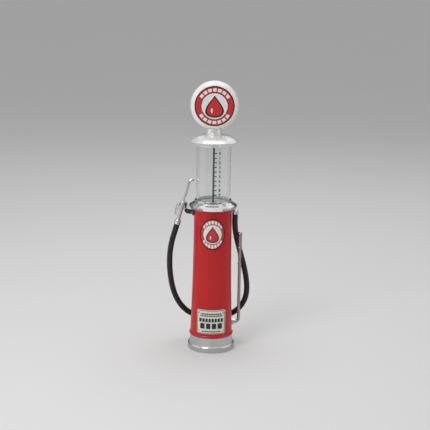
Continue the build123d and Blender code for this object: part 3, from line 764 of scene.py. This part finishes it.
def sweep_tube(mesh, route, radius, sides=28):
    """A tube along a route, closed at both ends."""
    angles = [2 * math.pi * k / sides for k in range(sides)]
    rings = []
    across = Vector((0, 1, 0))
    for i, here in enumerate(route):
        way = route[min(i + 1, len(route) - 1)] - route[max(i - 1, 0)]
        way.normalize()
        across = (across - way * across.dot(way)).normalized()
        other = way.cross(across)
        rim = [here + (across * math.cos(a) + other * math.sin(a)) * radius for a in angles]
        rings.append([mesh.verts.new(point) for point in rim])
    for a, b in zip(rings, rings[1:]):
        for k in range(sides):
            mesh.faces.new((a[k], a[(k + 1) % sides], b[(k + 1) % sides], b[k]))
    mesh.faces.new(rings[0])
    mesh.faces.new(rings[-1])


def make_hose():
    """The rubber hose, swept from the outlet on the pump's right to the nozzle on the left. It rides on no
    body.
    """
    mouth_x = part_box("hose_outlet")[1].x / MM - OUTLET_R
    into_nozzle = Vector((math.sin(NOZZLE_LEAN), 0, math.cos(NOZZLE_LEAN)))
    right_side = [(mouth_x, 0, 86.8), (mouth_x, 1.6, 79.5), (16.8, 5.0, 63.0), (21.6, 8.2, 43.0)]
    low_run = [(21.2, 10.4, 28.5), (13.6, 13.6, 18.0), (0, 16.2, 14.0), (-13.4, 13.4, 17.6)]
    left_side = [(-21.6, 9.0, 27.5), (-25.2, 5.5, 39.0), (-26.6, 2.6, 54.0), (-25.4, 0.7, 67.0)]
    end = Vector(HOSE_END) + into_nozzle * 0.1
    points = right_side + low_run + left_side + [end]
    route = smooth_route(points, Vector((0, 0, -1)), into_nozzle, 14)
    mesh = bmesh.new()
    sweep_tube(mesh, route, HOSE_R)
    hose = make_piece("hose_tube", mesh, None, materials["hose_rubber"])
    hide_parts("hose")
    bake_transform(hose)


# ---------------------------------------------------------------- studio
def make_floor():
    """A wide pale floor. It is darker where bright metal mirrors it."""
    g = Graph("studio_floor")
    pale = rgb(0.80, 0.80, 0.795)
    plain_tone = g.blend(g.noise(0.004, 2), shade(pale, 0.985), shade(pale, 1.01))
    path = g.add("ShaderNodeLightPath").outputs
    mirrored = g.calc("SUBTRACT", path["Is Glossy Ray"], path["Is Transmission Ray"], clamp=True)
    g.set(Base_Color=g.blend(mirrored, plain_tone, shade(pale, 0.62)), Roughness=0.8)
    mesh = bmesh.new()
    corners = ((-1, -1), (1, -1), (1, 1), (-1, 1))
    reach = FLOOR_HALF * MM
    mesh.faces.new([mesh.verts.new((x * reach, y * reach, 0.0)) for x, y in corners])
    data = bpy.data.meshes.new("studio_floor")
    mesh.to_mesh(data)
    mesh.free()
    data.materials.append(g.material)
    floor = bpy.data.objects.new("studio_floor", data)
    bpy.context.scene.collection.objects.link(floor)


def add_lamp(name, place, width, height, watts, color=(1.0, 1.0, 1.0)):
    """A rectangular soft box aimed at the pump. Clear parts don't show it."""
    data = bpy.data.lights.new(name, "AREA")
    data.shape = "RECTANGLE"
    data.size = width * MM
    data.size_y = height * MM
    data.energy = watts
    data.color = color
    lamp = bpy.data.objects.new(name, data)
    lamp.location = Vector(place) * MM
    lamp.rotation_euler = (Vector(AIM) - Vector(place)).to_track_quat("-Z", "Y").to_euler()
    lamp.visible_transmission = False
    bpy.context.scene.collection.objects.link(lamp)
    return lamp


def make_lights():
    """Soft boxes above, and a panel at each side that lights the pump but not the floor."""
    for name, (place, width, height, watts) in SOFT_BOXES.items():
        add_lamp(name, place, width, height, watts)
    pump_only = bpy.data.collections.new("lit_by_panels")
    for thing in bpy.context.scene.objects:
        if thing.type == "MESH" and thing.name != "studio_floor":
            pump_only.objects.link(thing)
    for name, (x, watts) in PANELS.items():
        panel = add_lamp(name, (x, PANEL_Y, PANEL_Z), PANEL_WIDE, PANEL_TALL, watts, PANEL_WARM)
        panel.light_linking.receiver_collection = pump_only


def make_world():
    """Flat grey to the camera and through clear parts. Other rays meet a dark band at the horizon."""
    world = bpy.data.worlds.new("studio")
    bpy.context.scene.world = world
    world.use_nodes = True
    tree = world.node_tree
    nodes, links = tree.nodes, tree.links
    coordinates = nodes.new("ShaderNodeTexCoord")
    split = nodes.new("ShaderNodeSeparateXYZ")
    ramp = nodes.new("ShaderNodeValToRGB")
    lift = nodes.new("ShaderNodeMapRange")
    lift.inputs["From Min"].default_value = -1.0
    links.new(coordinates.outputs["Generated"], split.inputs[0])
    links.new(split.outputs["Z"], lift.inputs["Value"])
    links.new(lift.outputs["Result"], ramp.inputs[0])
    # Each stop is a place from straight down, 0, to straight up, 1, and its brightness.
    stops = ((0.0, 0.40), (0.49, 0.22), (0.52, 0.07), (0.64, 0.10), (0.74, 0.42), (1.0, 0.60))
    while len(ramp.color_ramp.elements) < len(stops):
        ramp.color_ramp.elements.new(0.5)
    for element, (position, level) in zip(ramp.color_ramp.elements, stops):
        element.position = position
        element.color = (level, level, level * 1.01, 1.0)
    path = nodes.new("ShaderNodeLightPath")
    mix = nodes.new("ShaderNodeMix")
    mix.data_type = "RGBA"
    seen = nodes.new("ShaderNodeMath")
    seen.operation = "MAXIMUM"
    links.new(path.outputs["Is Camera Ray"], seen.inputs[0])
    links.new(path.outputs["Is Transmission Ray"], seen.inputs[1])
    links.new(seen.outputs[0], mix.inputs[0])
    links.new(ramp.outputs[0], mix.inputs[6])
    mix.inputs[7].default_value = rgb(0.48, 0.48, 0.48)
    links.new(mix.outputs[2], nodes["Background"].inputs["Color"])
    nodes["Background"].inputs["Strength"].default_value = 1.0


def make_camera():
    """The camera looks down a little, from straight ahead, and is rolled by about one degree."""
    axis_point = Vector((1.3, 0.0, 85.1))
    distance = 685.0
    look_down = math.radians(12.6)
    roll = math.radians(0.96)
    data = bpy.data.cameras.new("camera")
    data.sensor_width = 36.0
    data.lens = 92.8
    data.clip_start = 0.01
    data.clip_end = 20.0
    camera = bpy.data.objects.new("camera", data)
    back = Vector((0, -math.cos(look_down), math.sin(look_down))) * distance
    camera.location = (axis_point + back) * MM
    tilt = Matrix.Rotation(math.radians(90) - look_down, 4, "X")
    camera.matrix_world = Matrix.Translation(camera.location) @ tilt @ Matrix.Rotation(roll, 4, "Z")
    bpy.context.scene.collection.objects.link(camera)
    bpy.context.scene.camera = camera
    bpy.context.scene.view_settings.view_transform = "Standard"


# ---------------------------------------------------------------- build the scene
paint_nodes()
globe_art()
badge_art()
label_art()
nameplate_art()
gauge_marks()
make_hose()
make_floor()
make_lights()
make_world()
make_camera()
